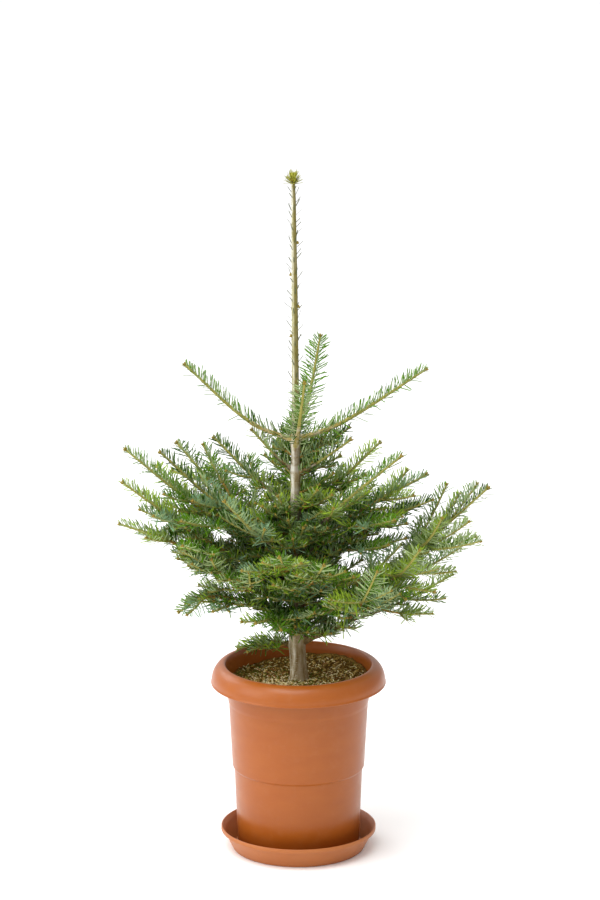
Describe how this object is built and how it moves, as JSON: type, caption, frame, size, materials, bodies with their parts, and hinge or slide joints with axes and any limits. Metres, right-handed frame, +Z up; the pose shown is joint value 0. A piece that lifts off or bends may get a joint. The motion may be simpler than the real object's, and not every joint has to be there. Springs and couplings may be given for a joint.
{
  "type": "potted fir",
  "caption": "Young fir tree with a long bare leader and whorls of flat needle sprays, growing in a round rimmed plastic pot that stands on its saucer.",
  "frame": {"origin": "centre of the saucer's flat underside, which is the mount base", "axes": "+Z up along the trunk, -Y to the side that the picture shows, +X to the right in the picture"},
  "size_m": [0.6433, 0.5071, 1.1935],
  "materials": {
    "pot_plastic": "terracotta coloured moulded plastic, satin",
    "saucer_plastic": "terracotta coloured moulded plastic, satin",
    "soil": "loose potting soil under bark chips and coir",
    "trunk_bark": "smooth silver-grey young bark with lenticels",
    "bough_bark": "brown young bark",
    "needles": "living needles, waxy dark green",
    "young_needles": "young needles, yellow-green"
  },
  "bodies": {
    "root": {"leader_tuft": "young_needles", "low_back_left_foliage": "needles", "low_back_right_bough": "bough_bark", "low_back_right_foliage": "needles", "low_front_left_foliage": "needles", "low_left_bough": "bough_bark", "low_left_foliage": "needles", "low_right_bough": "bough_bark", "low_right_foliage": "needles", "low_right_front_bough": "bough_bark", "low_right_front_foliage": "needles", "lower_back_left_bough": "bough_bark", "lower_back_left_foliage": "needles", "lower_back_right_bough": "bough_bark", "lower_back_right_foliage": "needles", "lower_front_foliage": "needles", "lower_front_right_foliage": "needles", "lower_left_bough": "bough_bark", "lower_left_foliage": "needles", "lower_left_front_bough": "bough_bark", "lower_left_front_foliage": "needles", "middle_back_left_bough": "bough_bark", "middle_back_left_foliage": "needles", "middle_back_right_bough": "bough_bark", "middle_back_right_foliage": "needles", "middle_front_foliage": "needles", "middle_left_bough": "bough_bark", "middle_left_foliage": "needles", "middle_left_low_bough": "bough_bark", "middle_left_low_foliage": "needles", "middle_right_bough": "bough_bark", "middle_right_foliage": "needles", "middle_right_low_bough": "bough_bark", "middle_right_low_foliage": "needles", "pot": "pot_plastic", "saucer": "saucer_plastic", "soil": "soil", "spur_left_foliage": "needles", "spur_right_foliage": "needles", "top_back_bough": "bough_bark", "top_back_foliage": "needles", "top_front_bough": "bough_bark", "top_front_foliage": "needles", "top_left_bough": "bough_bark", "top_left_foliage": "needles", "top_right_bough": "bough_bark", "top_right_foliage": "needles", "trunk": "trunk_bark", "upper_back_bough": "bough_bark", "upper_back_foliage": "needles", "upper_back_left_bough": "bough_bark", "upper_back_left_foliage": "needles", "upper_back_right_bough": "bough_bark", "upper_back_right_foliage": "needles", "upper_front_left_bough": "bough_bark", "upper_front_left_foliage": "needles", "upper_front_right_bough": "bough_bark", "upper_front_right_foliage": "needles", "upper_left_bough": "bough_bark", "upper_left_foliage": "needles"}
  },
  "joints": []
}
